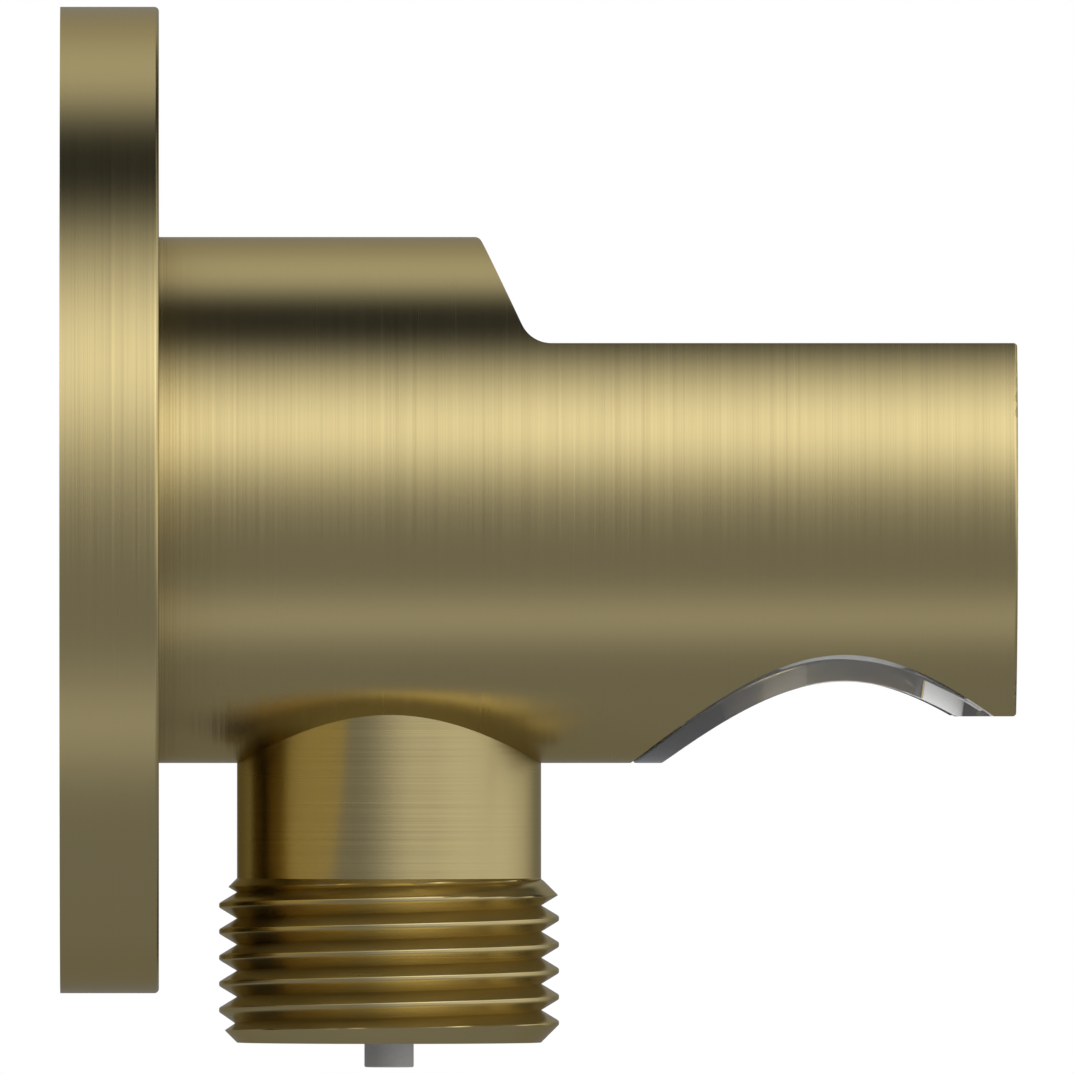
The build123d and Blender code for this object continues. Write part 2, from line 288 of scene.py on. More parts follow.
@dataclass(frozen=True)
class BrushedGold:
    """Pale gold plating over metal that was brushed while it turned, so fine lines run round its axis.

    Attributes:
        centre: a point on the axis that the piece was turned on.
        edge_tint: the gold's tint where it is seen at a grazing angle.
        anisotropy: how much further the sheen spreads across the lines than along them.
        flats: the directions that the flat faces point in.
        flat_facing: the least cosine between a flat face and its direction.
        facet_angle: how far, in degrees, a face may turn from the outward direction and count as turned.
        edge_facing: the least cosine for that at a crisp edge.
        crisp_from: the radius where crisp edges start.
        crisp_until: how far along the axis they go.
        end_round: the round at the piece's end, if it has one.
        line_width: the width of the fine lines.
        streak_width: the width of the coarse ones.
        fine_share: the fine lines' share in the pattern.
        line_length: the length that a line keeps its tone for.
        line_detail: how many finer layers the lines' noise has.
        line_breakup: how strong those layers are.
        line_contrast: the tone's swing on a turned face.
        end_contrast: how much larger it is on an end face.
        line_swing: the roughness's swing.
        line_lean: the slope across the lines for a full step of the pattern.
        groove_depth: the depth of the fine lines as grooves.
    """

    name: str
    axis: TurningAxis
    centre: tuple[float, float, float]
    colour: Shade = Shade(0.553, 0.456, 0.224)
    edge_tint: Shade = Shade(0.76, 0.70, 0.55)
    roughness: float = 0.25
    anisotropy: float = 0.67
    flats: tuple[tuple[float, float, float], ...] = ()
    flat_facing: float = 1 - 1e-5
    facet_angle: float = 2.6
    edge_facing: float = 0.17
    crisp_from: float = math.inf
    crisp_until: float = 0.0
    end_round: TurnedRound | None = None
    line_width: float = 0.07 * MM
    streak_width: float = 0.22 * MM
    fine_share: float = 0.65
    line_length: float = 40 * MM
    line_detail: float = 2.0
    line_breakup: float = 0.6
    line_contrast: float = 0.01
    end_contrast: float = 0.04
    line_swing: float = 0.026
    line_lean: float = 0.31
    groove_depth: float = 0.0001 * MM

    def material(self) -> bpy.types.Material:
        """Build the finish.

        The pattern is a sum of fine and coarse lines. It changes the tone and the roughness a little, and
        leans the surface to either side across the lines, so that each line mirrors another part of the
        room. The tangent is the normal crossed with the direction round the axis, so the sheen spreads
        across the lines and stays crisp along them.

        Returns:
            The material.
        """
        material, nodes = new_material(self.name)
        place = TurnedPlace(nodes, self.axis, self.centre)
        fine = self.lines(nodes, place, self.line_width)
        coarse = self.lines(nodes, place, self.streak_width)
        coarse_part = nodes.math("MULTIPLY", coarse, 1 - self.fine_share)
        pattern = nodes.math("MULTIPLY_ADD", fine, self.fine_share, coarse_part)
        swing = nodes.smooth(pattern, NOISE_RANGE, (-1.0, 1.0))
        contrast = nodes.math("MULTIPLY_ADD", place.on_end, self.end_contrast, self.line_contrast)
        tone = nodes.math("MULTIPLY_ADD", swing, contrast, 1.0)
        across_lines = nodes.mix(place.on_end, place.axis, place.outward, "VECTOR")
        slope = nodes.math("MULTIPLY", nodes.math("SUBTRACT", pattern, NOISE_MIDDLE), self.line_lean)
        leaning = nodes.vector("ADD", self.trued_normal(nodes, place), nodes.times(across_lines, slope))
        normal = nodes.vector("NORMALIZE", leaning)
        grooves = {"Height": fine, "Strength": 1.0, "Distance": self.groove_depth, "Normal": normal}
        tangent = nodes.vector("CROSS_PRODUCT", normal, place.round_axis)
        shader = nodes.add(
            "BsdfPrincipled",
            {
                "Base Color": nodes.times(self.colour.rgb(), tone),
                "Roughness": nodes.math("MULTIPLY_ADD", swing, self.line_swing, self.roughness),
                "Normal": nodes.add("Bump", grooves).outputs[0],
                "Tangent": nodes.vector("NORMALIZE", tangent),
                "Specular Tint": self.edge_tint.rgba(),
                "Metallic": 1.0,
                "Anisotropic": self.anisotropy,
            },
        )
        nodes.add("OutputMaterial", {0: shader.outputs[0]})
        return material

    def lines(self, nodes: Nodes, place: TurnedPlace, width: float) -> Socket:
        """Draw lines that are fine across and long along.

        They are noise over the distance along the axis and, on an end face, the radius, both divided by
        the width, and over the two distances across the axis, divided by the lines' length.

        Args:
            nodes: the node tree's builder.
            place: the point's place on the piece.
            width: the width of the lines.

        Returns:
            The noise.
        """
        end_radius = nodes.math("MULTIPLY", place.radius, place.on_end)
        fast = [nodes.math("DIVIDE", value, width) for value in (place.along, end_radius)]
        slow = [nodes.math("DIVIDE", value, self.line_length) for value in place.across]
        inputs = {
            "Vector": nodes.add("CombineXYZ", {0: fast[0], 1: fast[1], 2: slow[0]}).outputs[0],
            "W": slow[1],
            "Scale": 1.0,
            "Detail": self.line_detail,
            "Roughness": self.line_breakup,
        }
        return nodes.add("TexNoise", inputs, noise_dimensions="4D").outputs[0]

    def trued_normal(self, nodes: Nodes, place: TurnedPlace) -> Socket:
        """Work out the normal of the form without its small rounds, apart from the one at the end.

        Near small rounds the solid's shading normals lean over a little. On a face of the turned cylinder
        the normal is therefore the direction from the axis, and on a flat face it is the face's own. Where
        the radius is over crisp_from, as far along as crisp_until, the narrow rounds take it too, because
        those edges are crisp. On the round at the end the normal is that round's own.

        Args:
            nodes: the node tree's builder.
            place: the point's place on the piece.

        Returns:
            The normal.
        """
        far_out = nodes.math("GREATER_THAN", place.radius, self.crisp_from)
        before_end = nodes.math("LESS_THAN", place.along, self.crisp_until)
        on_edge = nodes.math("MULTIPLY", far_out, before_end)
        facet_facing = math.cos(math.radians(self.facet_angle))
        least = nodes.smooth(on_edge, (0.0, 1.0), (facet_facing, self.edge_facing))
        choices = [(place.outward, place.outward, least)]
        if self.end_round:
            direction, limit = self.round_normal(nodes, place)
            choices.append((direction, direction, limit))
        choices += [(flat, place.face, self.flat_facing) for flat in self.flats]
        normal = place.shaded
        for direction, trued, limit in choices:
            chosen = nodes.math("GREATER_THAN", nodes.dot(place.face, direction), limit)
            normal = nodes.mix(chosen, normal, trued, "VECTOR")
        return normal

    def round_normal(self, nodes: Nodes, place: TurnedPlace) -> tuple[Socket, Socket]:
        """Work out the normal on the end's round, and where it holds.

        With a the distance past the round's middle along the axis, and r the distance past it from the
        axis, the normal is the axis times a plus the outward direction times r.

        Args:
            nodes: the node tree's builder.
            place: the point's place on the piece.

        Returns:
            The normal, and a limit for the cosine between it and the face that is out of reach unless both
            a and r are above zero.
        """
        past_end = nodes.math("SUBTRACT", place.along, self.end_round.end - self.end_round.size)
        past_outer = nodes.math("SUBTRACT", place.radius, self.end_round.outer - self.end_round.size)
        inside = nodes.math("GREATER_THAN", nodes.math("MINIMUM", past_end, past_outer), 0.0)
        limit = nodes.math("MULTIPLY_ADD", inside, ROUND_FACING - OUT_OF_REACH, OUT_OF_REACH)
        outer_part = nodes.times(place.outward, past_outer)
        total = nodes.vector("ADD", outer_part, nodes.times(place.axis, past_end))
        return nodes.vector("NORMALIZE", total), limit


@dataclass(frozen=True)
class SmokedPlastic:
    """Clear plastic with a smoke-grey tint and polished faces. It darkens with the way through it.

    Attributes:
        smoke: the colour of the light that gets through.
        smoke_density: how fast the rest is lost, for each metre.
        flow_swing: how many times rougher than the smoothest places the roughest are.
        flow_scale: how many flow lines there are to a metre.
        clearness: the share of light that isn't scattered at its faces.
    """

    name: str = "smoked_plastic"
    face_colour: Shade = Shade(0.9, 0.9, 0.9)
    smoke: Shade = Shade(0.05, 0.04, 0.0)
    smoke_density: float = 520.0
    ior: float = 1.49
    roughness: float = 0.015
    flow_swing: float = 2.0
    flow_scale: float = 220.0
    flow_detail: float = 3.0
    clearness: float = 0.94

    def material(self) -> bpy.types.Material:
        """Build the finish: polished, with faint flow lines in its roughness, and a grey body.

        Returns:
            The material.
        """
        material, nodes = new_material(self.name)
        place = nodes.add("TexCoord").outputs["Object"]
        inputs = {"Vector": place, "Scale": self.flow_scale, "Detail": self.flow_detail}
        flow = nodes.add("TexNoise", inputs).outputs[0]
        swings = (self.roughness, self.roughness * self.flow_swing)
        shader = nodes.add(
            "BsdfPrincipled",
            {
                "Base Color": self.face_colour.rgba(),
                "Roughness": nodes.smooth(flow, NOISE_RANGE, swings),
                "Transmission Weight": self.clearness,
                "IOR": self.ior,
            },
        )
        smoke = nodes.add("VolumeAbsorption", {"Color": self.smoke.rgba(), "Density": self.smoke_density})
        nodes.add("OutputMaterial", {0: shader.outputs[0], 1: smoke.outputs[0]})
        return material


@dataclass(frozen=True)
class MattFinish:
    """A matt moulded, foamed or drawn finish: a fine grain in colour, roughness and height.

    The grain has a size and a depth, and finer layers within it. Contrast is the colour's swing.
    """

    name: str
    colour: Shade
    roughness: float
    grain: float
    grain_depth: float
    contrast: float = 0.05
    metallic: float = 0.0
    roughness_swing: float = 0.05
    grain_detail: float = 3.0
    grain_breakup: float = 0.6

    def material(self) -> bpy.types.Material:
        """Build the finish from one fine noise over the piece's own place.

        Returns:
            The material.
        """
        material, nodes = new_material(self.name)
        inputs = {
            "Vector": nodes.add("TexCoord").outputs["Object"],
            "Scale": 1 / self.grain,
            "Detail": self.grain_detail,
            "Roughness": self.grain_breakup,
        }
        grain = nodes.add("TexNoise", inputs).outputs[0]
        tone = nodes.smooth(grain, NOISE_RANGE, (1 - self.contrast, 1 + self.contrast))
        swings = (self.roughness - self.roughness_swing, self.roughness + self.roughness_swing)
        bump = nodes.add("Bump", {"Height": grain, "Strength": 1.0, "Distance": self.grain_depth})
        shader = nodes.add(
            "BsdfPrincipled",
            {
                "Base Color": nodes.times(self.colour.rgb(), tone),
                "Roughness": nodes.smooth(grain, NOISE_RANGE, swings),
                "Normal": bump.outputs[0],
                "Metallic": self.metallic,
            },
        )
        nodes.add("OutputMaterial", {0: shader.outputs[0]})
        return material


def surface(name: str, points: np.ndarray, material: bpy.types.Material) -> bpy.types.Object:
    """Turn a grid of points into a smooth-shaded object.

    The grid closes on itself where its first and last rows or columns meet, because points that coincide
    are merged. Faces look outwards, away from the material.

    Args:
        name: the object's name.
        points: an array of rows, columns and three coordinates, in metres.
        material: the finish.

    Returns:
        The object, linked to the scene.
    """
    rows, columns = points.shape[:2]
    index = np.arange(rows * columns).reshape(rows, columns)
    corners = (index[:-1, :-1], index[:-1, 1:], index[1:, 1:], index[1:, :-1])
    faces = np.stack(corners, axis=-1).reshape(-1, 4)
    flat = points.reshape(-1, 3)
    snapped = np.round(flat / MERGE_DISTANCE)
    _, first, merged = np.unique(snapped, axis=0, return_index=True, return_inverse=True)
    faces = merged.reshape(-1)[faces]
    mesh = bpy.data.meshes.new(name)
    mesh.from_pydata(flat[first], [], outline_of_each(faces))
    mesh.validate()
    mesh.shade_smooth()
    mesh.set_sharp_from_angle(angle=math.radians(CREASE_ANGLE))
    mesh.materials.append(material)
    item = bpy.data.objects.new(name, mesh)
    bpy.context.scene.collection.objects.link(item)
    return item


def outline_of_each(faces: np.ndarray) -> list[list[int]]:
    """Drop repeated corners from four-cornered faces, and faces that have shrunk to a line.

    Args:
        faces: an array of four corner numbers for each face.

    Returns:
        The corner numbers of each face that is left, three or four of them.
    """
    repeats = faces == np.roll(faces, 1, axis=1)
    opposite = (faces[:, 0] == faces[:, 2]) | (faces[:, 1] == faces[:, 3])
    kept = (repeats.sum(axis=1) < 2) & ~opposite
    return [list(face[~again]) for face, again in zip(faces[kept], repeats[kept])]


def round_z(
    radius: np.ndarray, angle: np.ndarray, height: np.ndarray, centre: tuple[float, float]
) -> np.ndarray:
    """Place points round a vertical axis.

    X is the centre's plus the radius times the angle's cosine, and Y the centre's plus the radius times
    its sine.

    Args:
        radius: each point's distance from the axis.
        angle: its angle in radians.
        height: its height.
        centre: the axis's X and Y.

    Returns:
        The points, in the shape that the three arrays have together, with three coordinates each.
    """
    x = centre[0] + radius * np.cos(angle)
    y = centre[1] + radius * np.sin(angle)
    return np.stack(np.broadcast_arrays(x, y, height), axis=-1)


@dataclass(frozen=True)
class ThreadForm:
    """A V thread with a narrow crest and a sharp root. Lengths are in metres."""

    crest_radius: float
    root_radius: float
    pitch: float = 1.591 * MM
    crest_flat: float = 0.27 * MM
    crest_break: float = 0.05 * MM
    break_drop: float = 0.0175 * MM

    def radius_at(self, from_crest: np.ndarray) -> np.ndarray:
        """Work out the radius beside a crest.

        The crest is flat, its edges are broken, and the flank is straight down to the root.

        Args:
            from_crest: the distance along the axis from a crest's middle, up to half a pitch.

        Returns:
            The radius at each distance.
        """
        depth = self.crest_radius - self.root_radius
        half = self.crest_flat / 2
        flank_start = half + self.crest_break
        places = (0.0, half - self.crest_break, half, flank_start, self.pitch / 2)
        slope = depth / (self.pitch / 2 - half)
        drops = np.array((0.0, 0.0, self.break_drop, self.crest_break * slope, depth))
        return self.crest_radius - np.interp(np.abs(from_crest), places, drops)


@dataclass
class OutletNipple:
    """The turned nipple under the body: spigot with its gland, plain neck and male hose thread.

    Low and high are the corners of the solid's box.

    Attributes:
        crest_at_right: the height over the lower end where the side away from the wall has a crest.
        runout: the length that the thread's groove runs out over, at its lower end.
        last_groove: the height over the lower end where it has run out.
        closing_gap: the seam's two sides are made one where they are nearer than this.
    """

    low: Vector
    high: Vector
    neck_radius: float = 9.25 * MM
    thread_length: float = 10 * MM
    spigot_radius: float = 8 * MM
    spigot_length: float = 6.3 * MM
    spigot_chamfer: float = 0.4 * MM
    gland_width: float = 1.7 * MM
    gland_depth: float = 1.15 * MM
    gland_from_end: float = 2 * MM
    waterway_radius: float = 5.5 * MM
    cartridge_bore_radius: float = 7.5 * MM
    cartridge_bore_depth: float = 17.5 * MM
    bore_mouth_chamfer: float = 0.4 * MM
    crest_at_right: float = 7.55 * MM
    runout: float = 0.33 * MM
    last_groove: float = 1.21 * MM
    closing_gap: float = 0.001 * MM
    columns: int = 360
    rows_per_turn: int = 26

    def __post_init__(self) -> None:
        """Work out the axis and the levels from the solid's box."""
        self.centre = ((self.low.x + self.high.x) / 2, (self.low.y + self.high.y) / 2)
        self.form = ThreadForm((self.high.x - self.low.x) / 2, self.neck_radius)
        self.bottom = self.low.z
        self.thread_top = self.bottom + self.thread_length
        self.spigot_foot = self.high.z - self.spigot_length

    def thread_rows(self, angle: np.ndarray) -> tuple[np.ndarray, np.ndarray]:
        """Work out the threaded stretch, from its top down.

        A row follows the helix: its height is a level plus the pitch times the part of a turn. A point's
        radius is the thread's at its distance from the nearest crest, but no more than either end's
        45-degree chamfer gives. The groove runs out just before the lower end.

        Args:
            angle: the angle of each column, from 0 to a full turn, in radians.

        Returns:
            The radius and the height of each point.
        """
        form = self.form
        turns = angle / FULL_TURN
        steps = math.ceil((self.thread_length / form.pitch + 2) * self.rows_per_turn)
        level = self.thread_top + form.pitch * (0.5 - np.arange(steps) / self.rows_per_turn)
        height = np.clip(level[:, None] + form.pitch * turns, self.bottom, self.thread_top)
        crest = self.bottom + self.crest_at_right + form.pitch * turns
        from_crest = (height - crest + form.pitch / 2) % form.pitch - form.pitch / 2
        groove = height - from_crest + np.copysign(form.pitch / 2, from_crest)
        end = self.bottom + self.last_groove
        depth = np.clip((groove - end) / self.runout + 1, 0, 1)
        cut = (form.crest_radius - form.radius_at(from_crest)) * depth
        chamfer = self.neck_radius + np.minimum(height - self.bottom, self.thread_top - height)
        return np.minimum(form.crest_radius - cut, chamfer), height

    def above_thread(self) -> np.ndarray:
        """Lay out the edges above the thread.

        Returns:
            The radius and height of each, from the waterway's top down to the thread.
        """
        gland_top = self.high.z - self.gland_from_end
        gland_low = gland_top - self.gland_width
        gland_radius = self.spigot_radius - self.gland_depth
        edges = (
            (self.waterway_radius, self.high.z),
            (self.spigot_radius - self.spigot_chamfer, self.high.z),
            (self.spigot_radius, self.high.z - self.spigot_chamfer),
            (self.spigot_radius, gland_top),
            (gland_radius, gland_top),
            (gland_radius, gland_low),
            (self.spigot_radius, gland_low),
            (self.spigot_radius, self.spigot_foot),
            (self.neck_radius, self.spigot_foot),
            (self.neck_radius, self.thread_top),
        )
        return np.array(edges)

    def inside(self) -> np.ndarray:
        """Lay out the edges under the thread and inside.

        Returns:
            The radius and height of each, from the thread's foot up the bore to its top.
        """
        shoulder = self.bottom + self.cartridge_bore_depth
        edges = (
            (self.neck_radius, self.bottom),
            (self.cartridge_bore_radius + self.bore_mouth_chamfer, self.bottom),
            (self.cartridge_bore_radius, self.bottom + self.bore_mouth_chamfer),
            (self.cartridge_bore_radius, shoulder),
            (self.waterway_radius, shoulder),
            (self.waterway_radius, self.high.z),
        )
        return np.array(edges)

    def build(self, material: bpy.types.Material) -> bpy.types.Object:
        """Build the nipple as one closed surface round its bore.

        The grid goes down the outside, along the thread, under the end face, up the bore and back over the
        spigot's end, and right round the axis.

        Args:
            material: the finish.

        Returns:
            The nipple.
        """
        angle = np.linspace(0, FULL_TURN, self.columns + 1)
        above, inside = self.above_thread(), self.inside()
        stretches = ((above[:, :1], above[:, 1:]), self.thread_rows(angle), (inside[:, :1], inside[:, 1:]))
        points = np.concatenate([round_z(radius, angle, z, self.centre) for radius, z in stretches])
        start, end = points[:, 0], points[:, -1]
        points[:, -1] = np.where(np.abs(end - start) < self.closing_gap, start, end)
        nipple = surface("outlet_nipple_threaded", points, material)
        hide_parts("outlet_nipple")
        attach(nipple, "fitting")
        return nipple


@dataclass
class InletThread:
    """The female thread in the body's socket: a ridge that winds into the socket from the wall side.

    Low is the lowest corner of the body's box. The ridge's base lies in the socket's wall by ridge_root,
    and fade is the share of its length that it rises over, and falls over at the other end.
    """

    low: Vector
    socket_radius: float = 10.5 * MM
    ridge_height: float = 1.16 * MM
    ridge_root: float = 0.04 * MM
    pitch: float = 1.814 * MM
    crest_flat: float = 0.28 * MM
    root_flat: float = 1.5 * MM
    first_turn: float = 1.5 * MM
    length: float = 7.2 * MM
    fade: float = 0.12
    columns_per_turn: int = 144

    def build(self, material: bpy.types.Material) -> bpy.types.Object:
        """Build the ridge.

        Along the helix the distance into the socket is the pitch times the turns. The section is a
        trapezium with its base in the socket's wall, and its height rises and falls at the two ends.

        Args:
            material: the finish.

        Returns:
            The ridge.
        """
        turns = self.length / self.pitch
        along = np.linspace(0, turns, math.ceil(turns * self.columns_per_turn) + 1)
        angle = along * FULL_TURN
        size = np.clip(np.minimum(along, turns - along) / (self.fade * turns), 0.0, 1.0)
        base = np.full_like(size, self.socket_radius + self.ridge_root)
        tip = self.socket_radius - self.ridge_height * size
        corners = (
            (base, -self.root_flat),
            (tip, -self.crest_flat),
            (tip, self.crest_flat),
            (base, self.root_flat),
            (base, -self.root_flat),
        )
        sections = []
        for radius, width in corners:
            x = self.low.x + self.first_turn + along * self.pitch + width / 2 * size
            sections.append(np.stack((x, radius * np.cos(angle), radius * np.sin(angle)), axis=-1))
        ridge = surface("inlet_thread", np.stack(sections), material)
        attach(ridge, "fitting")
        return ridge


@dataclass
class ValveSpring:
    """The valve's compression spring, with a closed coil at each end.

    Low and high are the corners of the solid's box. Travel, how much the spring would get shorter, is not
    used, and neither is end_gap, the room between each end and what it presses on.
    """

    low: Vector
    high: Vector
    wire_radius: float = 0.225 * MM
    active_turns: float = 4.0
    closed_turns: float = 1.25
    travel: float = 2.5 * MM
    end_gap: float = 0.05 * MM
    points_per_turn: int = 40
    points_round: int = 14

    def build(self, material: bpy.types.Material) -> bpy.types.Object:
        """Build the spring, hide the solid that it stands for, and attach it to the fitting.

        The middle line is a helix whose rise is one wire thickness a turn in the end coils and an even
        pitch between them. The wire is a circle carried along it, drawn in to a point at each end by the
        height of a quarter circle.

        Args:
            material: the finish.

        Returns:
            The spring.
        """
        centre = ((self.low.x + self.high.x) / 2, (self.low.y + self.high.y) / 2)
        coil_radius = (self.high.x - self.low.x) / 2 - self.wire_radius
        height = self.high.z - self.low.z - 2 * self.wire_radius
        turns = self.active_turns + 2 * self.closed_turns
        along = np.linspace(0, turns, math.ceil(turns * self.points_per_turn) + 1)
        closed_rise = self.closed_turns * 2 * self.wire_radius
        knots = (0.0, self.closed_turns, turns - self.closed_turns, turns)
        rise = np.interp(along, knots, (0.0, closed_rise, height - closed_rise, height))
        round_wire = np.linspace(0, FULL_TURN, self.points_round + 1)[:, None]
        from_end = np.minimum(along, turns - along) * FULL_TURN * coil_radius / self.wire_radius
        narrowing = np.sqrt(np.clip(from_end * (2 - from_end), 0, None))
        wire = self.wire_radius * np.where(from_end < 1, narrowing, 1.0)
        radius = coil_radius + wire * np.cos(round_wire)
        level = self.low.z + self.wire_radius + rise + wire * np.sin(round_wire)
        points = round_z(radius, along * FULL_TURN, level, centre)[:, ::-1]
        spring = surface("valve_spring_coils", points, material)
        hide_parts("valve_spring")
        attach(spring, "fitting")
        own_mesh(spring)
        return spring


@dataclass(frozen=True)
class SoftPanel:
    """A long soft panel beside the long axis of the piece.

    Its angle is counted from the camera upwards, and its spread is how far from its middle its glow has
    fallen to six tenths. Both are in degrees.
    """

    angle: float
    spread: float
    level: float


@dataclass
class Studio:
    """A white sweep, soft panels that the metal mirrors, and a long lens level with the piece.

    Low and high are the corners of the object's box. Angles are in degrees round the long axis, counted
    from the camera upwards. Heights and sides in the tent are parts of a direction from its middle, from
    -1 to 1.

    Attributes:
        frame_width: the width of the picture, where the piece is.
        light_level: the world's light on matt parts.
        wall_level: the glow of the room between the panels.
        dark_gap: where that glow starts and ends to fall, and starts and ends to rise again.
        left_share: the glow's share at the left of the picture, in the shared band.
        right_share: its share at the right.
        share_reach: how far to each side that share goes on changing.
        shared_band: where the shares start and end to come in, and start and end to go.
        side_range: how far to the side the levels of the two sides start, and are full.
        left_level: the glow at the far left.
        right_heights: the heights that the glow at the far right grows between.
        right_levels: its levels there.
        right_back_share: its share at the back.
        dark_spot: the direction of the dark spot.
        spot_range: the cosines from it where the spot starts, and is full.
        strip_normal: the direction that the plane of the dark strip faces.
        strip_range: the sines from that plane where the strip is full, and ends.
        strip_sides: how far to the right the strip starts, and is full.
        strip_heights: the heights where it starts, and is full.
        spot_depth: how much of the glow the spot and the strip take away.
        warm_levels: the glow that has the room's tint, and the glow that has the panels'.
        haze: a glow that is added everywhere.
    """

    low: Vector
    high: Vector
    rosette_front: float
    frame_width: float = 65.33 * MM
    lens: float = 1700.0
    sensor: float = 36.0
    clip_end: float = 20.0
    light_level: float = 0.85
    key_size: float = 0.7
    key_power: float = 8.0
    key_place: tuple[float, float, float] = (1.1, -0.75, -0.14)
    floor_level: float = -1.3
    floor_size: float = 8.0
    floor_points: int = 9
    floor_tones: tuple[float, float] = (0.94, 0.96)
    speckle_scale: float = 40.0
    speckle_detail: float = 2.0
    tent_radius: float = 1.2
    tent_rows: int = 32
    tent_columns: int = 64
    wall_level: float = 0.262
    dark_gap: tuple[float, float, float, float] = (54, 79, 91, 112)
    panels_around: tuple[SoftPanel, ...] = (
        SoftPanel(33, 17.5, 1.11),
        SoftPanel(-53.5, 9.3, 0.25),
        SoftPanel(118, 11.5, 0.29),
        SoftPanel(139, 20, 0.225),
    )
    left_share: float = 0.50
    right_share: float = 1.46
    share_reach: float = 0.4
    shared_band: tuple[float, float, float, float] = (-25, -8, 80, 95)
    side_range: tuple[float, float] = (0.5, 0.9)
    left_level: float = 0.26
    right_heights: tuple[float, float] = (-0.35, 0.1)
    right_levels: tuple[float, float] = (0.28, 1.03)
    right_back_share: float = 0.6
    dark_spot: tuple[float, float, float] = (0.62, 0.55, 0.56)
    spot_range: tuple[float, float] = (0.90, 0.975)
    strip_normal: tuple[float, float, float] = (-0.673, 0.737, 0.064)
    strip_range: tuple[float, float] = (0.06, 0.18)
    strip_sides: tuple[float, float] = (0.2, 0.4)
    strip_heights: tuple[float, float] = (0.3, 0.5)
    spot_depth: float = 0.97
    warm_levels: tuple[float, float] = (0.2, 0.8)
    room_tint: Shade = Shade(0.99, 1.0, 1.05)
    panel_tint: Shade = Shade(1.0, 0.995, 0.985)
    haze: Shade = Shade(0.0, 0.003, 0.009)

    def world(self) -> None:
        """Light the matt parts evenly, and show white wherever the view, a mirror or glass looks out."""
        world = bpy.data.worlds.new("sweep")
        world.use_nodes = True
        nodes = Nodes(world.node_tree)
        rays = nodes.add("LightPath").outputs
        mirrored = nodes.math("MAXIMUM", rays["Is Glossy Ray"], rays["Is Transmission Ray"])
        shown = nodes.math("MAXIMUM", rays["Is Camera Ray"], mirrored)
        level = nodes.smooth(shown, (0.0, 1.0), (self.light_level, 1.0))
        background = nodes.add("Background", {"Color": WHITE.rgba(), "Strength": level})
        nodes.add("OutputWorld", {0: background.outputs[0]})
        bpy.context.scene.world = world

    def band(self, nodes: Nodes, angle: Socket, ends: tuple[float, float, float, float]) -> Socket:
        """Make a soft-edged band round the long axis.

        Args:
            nodes: the node tree's builder.
            angle: the angle round the long axis.
            ends: the angles where the band starts and ends to come in, and starts and ends to go.

        Returns:
            1 in the band, and 0 outside it.
        """
        comes = nodes.smooth(angle, ends[:2])
        goes = nodes.smooth(angle, ends[2:], (1.0, 0.0))
        return nodes.math("MULTIPLY", comes, goes)

    def glow_round(self, nodes: Nodes, parts: bpy.types.NodeOutputs) -> Socket:
        """Work out the glow round the long axis.

        It is the room's, which drops in a dark gap, plus a bell curve for each panel: its level times the
        exponential of minus half the square of the angle from its middle, divided by its spread. In the
        shared band the sum grows smoothly from the left of the picture to the right.

        Args:
            nodes: the node tree's builder.
            parts: the parts of the direction.

        Returns:
            The glow.
        """
        towards_camera = nodes.math("MULTIPLY", parts[1], -1.0)
        angle = nodes.math("DEGREES", nodes.math("ARCTAN2", parts[2], towards_camera))
        falls = nodes.smooth(angle, self.dark_gap[:2], (1.0, 0.0))
        rises = nodes.smooth(angle, self.dark_gap[2:])
        glow = nodes.math("MULTIPLY", nodes.math("ADD", falls, rises), self.wall_level)
        for panel in self.panels_around:
            distance = nodes.math("DIVIDE", nodes.math("SUBTRACT", angle, panel.angle), panel.spread)
            square = nodes.math("MULTIPLY", nodes.math("MULTIPLY", distance, distance), -0.5)
            glow = nodes.math("MULTIPLY_ADD", nodes.math("EXPONENT", square), panel.level, glow)
        reach = (-self.share_reach, self.share_reach)
        extra = nodes.smooth(parts[0], reach, (self.left_share - 1, self.right_share - 1))
        extra = nodes.math("MULTIPLY", extra, self.band(nodes, angle, self.shared_band))
        return nodes.math("MULTIPLY", glow, nodes.math("ADD", extra, 1.0))

    def with_sides(self, nodes: Nodes, parts: bpy.types.NodeOutputs, glow: Socket) -> Socket:
        """Turn the glow to a level of its own at each far side.

        On the right that level falls towards the floor and the back.

        Args:
            nodes: the node tree's builder.
            parts: the parts of the direction.
            glow: the glow round the long axis.

        Returns:
            The glow with its sides.
        """
        start, full = self.side_range
        right = nodes.smooth(parts[0], (start, full))
        left = nodes.smooth(parts[0], (-full, -start), (1.0, 0.0))
        by_height = nodes.smooth(parts[2], self.right_heights, self.right_levels)
        by_depth = nodes.smooth(parts[1], (0.0, 1.0), (1.0, self.right_back_share))
        glow = nodes.mix(right, glow, nodes.math("MULTIPLY", by_height, by_depth))
        return nodes.mix(left, glow, self.left_level)

